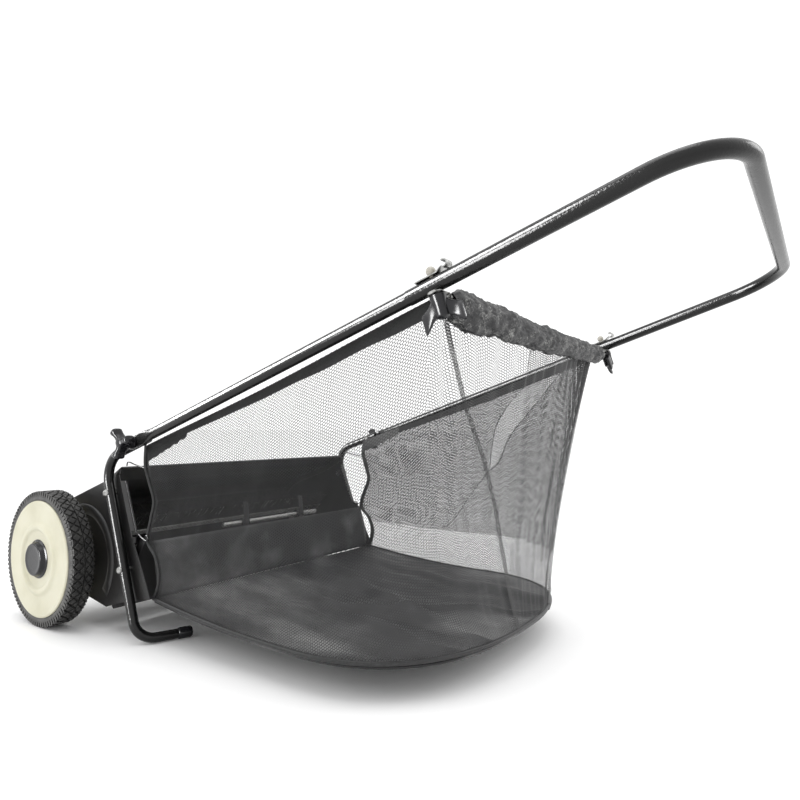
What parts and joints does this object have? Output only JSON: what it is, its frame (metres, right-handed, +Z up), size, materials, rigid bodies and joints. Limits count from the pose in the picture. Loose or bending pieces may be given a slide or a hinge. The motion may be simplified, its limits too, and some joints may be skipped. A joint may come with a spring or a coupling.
{
  "type": "push lawn sweeper",
  "caption": "Push lawn sweeper: ground-driven brush reel under a hood between large wheels, resting legs, folding tube handle and an open mesh hopper bag.",
  "frame": {"origin": "on the ground in the middle of the sweeper's length and width", "axes": "+Z up; the sweeper drives towards -Y, so +Y runs back along the handle; +X is the sweeper's left side"},
  "size_m": [0.6532, 1.1178, 0.5631],
  "materials": {
    "black_tube": "gloss black hammered powder coat",
    "black_sheet": "semi-gloss black paint on sheet steel",
    "black_plastic": "gloss black moulded plastic",
    "cream_plastic": "semi-matte cream moulded plastic",
    "rubber": "matte black moulded rubber",
    "zinc": "bright zinc plate",
    "white_plastic": "satin off-white plastic",
    "bristle": "dark polypropylene bristles",
    "mesh_fabric": "black open-weave polyester mesh",
    "vinyl": "dark coated woven fabric"
  },
  "bodies": {
    "chassis": {"hood": "black_sheet", "rear_baffle": "black_sheet", "apron_rod": "zinc", "end_plate_left": "black_sheet", "end_plate_right": "black_sheet", "leg_left": "black_tube", "leg_right": "black_tube", "foot_cap_left": "black_plastic", "foot_cap_right": "black_plastic", "leg_bolt_upper_left": "zinc", "leg_bolt_upper_right": "zinc", "leg_bolt_lower_left": "zinc", "leg_bolt_lower_right": "zinc", "stub_axle_left": "zinc", "stub_axle_right": "zinc", "axle_clip_left": "zinc", "axle_clip_right": "zinc", "brush_bearing_left": "black_plastic", "brush_bearing_right": "black_plastic", "rod_clip_left": "black_plastic", "rod_clip_right": "black_plastic", "pivot_bolt_left": "zinc", "pivot_bolt_right": "zinc"},
    "wheel_left": {"wheel_hub_left": "cream_plastic", "tyre_left": "rubber", "hub_cap_left": "black_plastic"},
    "wheel_right": {"wheel_hub_right": "cream_plastic", "tyre_right": "rubber", "hub_cap_right": "black_plastic"},
    "brush_reel": {"brush_shaft": "zinc", "brush_spider_left": "zinc", "brush_spider_right": "zinc", "pinion_left": "zinc", "brush_holder_1": "zinc", "brush_holder_2": "zinc", "brush_holder_3": "zinc", "brush_holder_4": "zinc", "bristle_strip_1": "bristle", "bristle_strip_2": "bristle", "bristle_strip_3": "bristle", "bristle_strip_4": "bristle"},
    "right_pinion": {"pinion_right": "zinc"},
    "handle": {"upper_handle": "black_tube", "rear_rod": "zinc", "lower_handle_left": "black_tube", "lower_handle_right": "black_tube", "tie_clip_left": "zinc", "tie_clip_right": "zinc", "handle_bolt_left": "white_plastic", "handle_bolt_right": "white_plastic", "bag_side_left": "mesh_fabric", "bag_side_right": "mesh_fabric", "bag_rear": "mesh_fabric", "bag_bottom": "vinyl", "bag_apron": "vinyl", "bag_rear_hem": "mesh_fabric"},
    "left_pivot_knob": {"lower_knob_left": "black_plastic"},
    "right_pivot_knob": {"lower_knob_right": "black_plastic"},
    "left_upper_knob": {"upper_knob_left": "black_plastic"},
    "right_upper_knob": {"upper_knob_right": "black_plastic"}
  },
  "joints": [
    {"name": "left_wheel_turn", "type": "hinge", "parent": "chassis", "child": "wheel_left", "pos_m": [0, -0.45095, 0.108], "axis": [1, 0, 0], "continuous": true},
    {"name": "right_wheel_turn", "type": "hinge", "parent": "chassis", "child": "wheel_right", "pos_m": [0, -0.45095, 0.108], "axis": [1, 0, 0], "continuous": true},
    {"name": "brush_turn", "type": "hinge", "parent": "chassis", "child": "brush_reel", "pos_m": [0, -0.40595, 0.108], "axis": [1, 0, 0], "continuous": true},
    {"name": "right_pinion_turn", "type": "hinge", "parent": "chassis", "child": "right_pinion", "pos_m": [0, -0.40595, 0.108], "axis": [1, 0, 0], "continuous": true},
    {"name": "handle_fold", "type": "hinge", "parent": "chassis", "child": "handle", "pos_m": [0, -0.24318, 0.29771], "axis": [1, 0, 0], "range_deg": [0, 35]},
    {"name": "left_pivot_knob_turn", "type": "hinge", "parent": "chassis", "child": "left_pivot_knob", "pos_m": [0.2884, -0.24318, 0.29771], "axis": [1, 0, 0], "continuous": true},
    {"name": "left_upper_knob_turn", "type": "hinge", "parent": "handle", "child": "left_upper_knob", "pos_m": [0.2839, 0.27766, 0.45382], "axis": [0, 0.3082, -0.9513], "continuous": true},
    {"name": "right_pivot_knob_turn", "type": "hinge", "parent": "chassis", "child": "right_pivot_knob", "pos_m": [-0.2884, -0.24318, 0.29771], "axis": [-1, 0, 0], "continuous": true},
    {"name": "right_upper_knob_turn", "type": "hinge", "parent": "handle", "child": "right_upper_knob", "pos_m": [-0.2839, 0.27766, 0.45382], "axis": [0, 0.3082, -0.9513], "continuous": true}
  ],
  "couplings": [
    {"joint": "brush_turn", "follows": "left_wheel_turn", "ratio": 4},
    {"joint": "right_pinion_turn", "follows": "right_wheel_turn", "ratio": 4}
  ]
}
